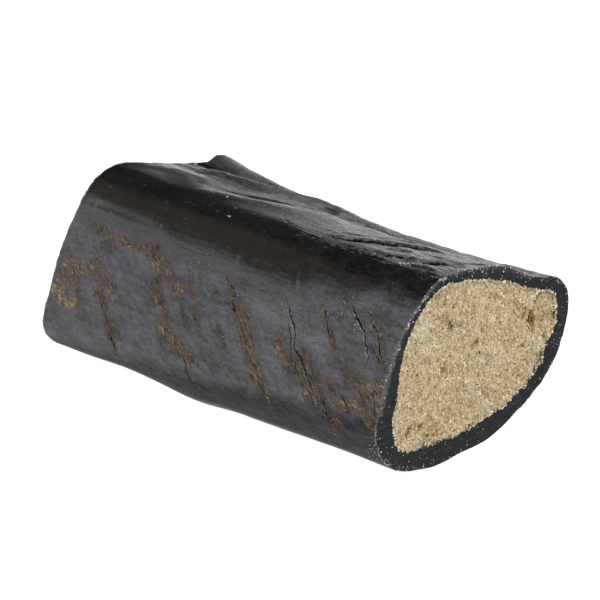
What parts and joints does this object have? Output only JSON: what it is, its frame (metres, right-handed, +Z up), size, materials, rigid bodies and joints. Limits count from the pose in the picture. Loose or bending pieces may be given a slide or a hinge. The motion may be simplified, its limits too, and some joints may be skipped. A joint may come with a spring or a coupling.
{
  "type": "filled buffalo horn section",
  "caption": "Section of black buffalo horn, sawn square at both ends, its bore packed with a pale crumbly filling.",
  "frame": {"origin": "on the surface the horn lies on, under the middle of its bounding box", "axes": "+X along the horn towards the end that the picture shows sawn and filled, +Y across towards the rounded rear side, +Z up"},
  "size_m": [0.115, 0.0798, 0.05],
  "materials": {
    "horn": "black keratin, glossy on top and satin with brown peeling fibre on the flank",
    "filling": "dry pressed crumb, granular and matte"
  },
  "bodies": {
    "root": {"horn": "horn", "filling": "filling"}
  },
  "joints": []
}
